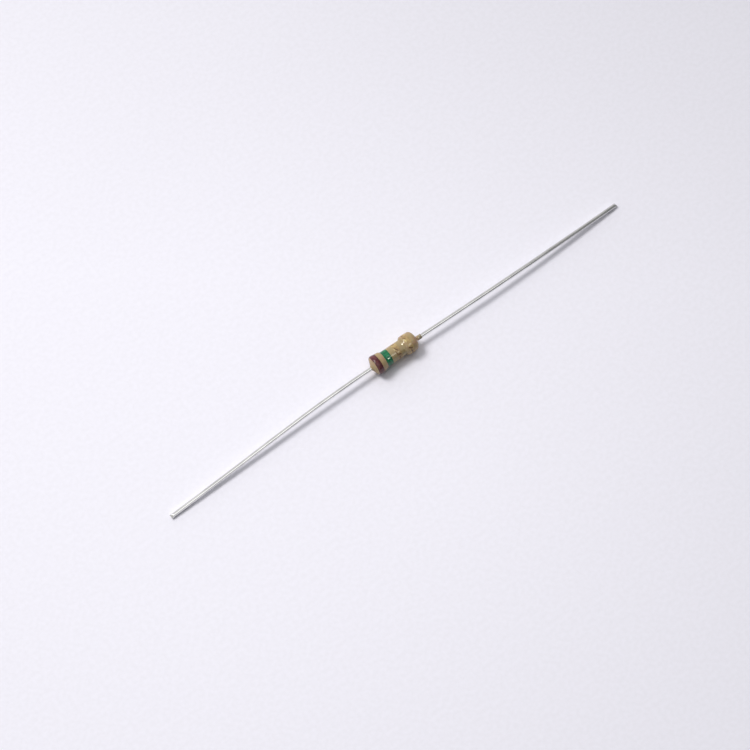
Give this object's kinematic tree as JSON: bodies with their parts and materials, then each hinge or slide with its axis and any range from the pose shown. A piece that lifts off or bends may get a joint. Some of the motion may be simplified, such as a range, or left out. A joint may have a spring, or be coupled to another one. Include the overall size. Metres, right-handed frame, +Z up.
{
  "type": "axial resistor",
  "caption": "Axial carbon film resistor: a lacquered, dumb-bell-shaped body with a colour code, on a long, slightly bent wire lead at each end.",
  "frame": {"origin": "on the surface that the part lies on, under the middle of the body", "axes": "+X along the body's axis, from the end with the first colour band to the end with the tolerance band; +Z up"},
  "size_m": [0.0646, 0.0027, 0.0024],
  "materials": {
    "core_ceramic": "matt, fired, unglazed",
    "film_carbon": "thin dull carbon film",
    "cap_steel": "tin-plated, satin",
    "lead_tinned": "bright tinned wire, faint drawing lines",
    "lacquer": "glossy dipped lacquer, slightly uneven",
    "ink_brown": "glossy ink, red-brown",
    "ink_green": "glossy ink, mid green",
    "ink_gold": "glossy ink with a faint metallic gold glint"
  },
  "bodies": {
    "root": {"ceramic_core": "core_ceramic", "carbon_film": "film_carbon", "end_cap_left": "cap_steel", "end_cap_right": "cap_steel", "lead_left": "lead_tinned", "lead_right": "lead_tinned", "lacquer_coating": "lacquer", "band_brown": "ink_brown", "band_green": "ink_green", "band_gold_multiplier": "ink_gold", "band_gold_tolerance": "ink_gold"}
  },
  "joints": []
}
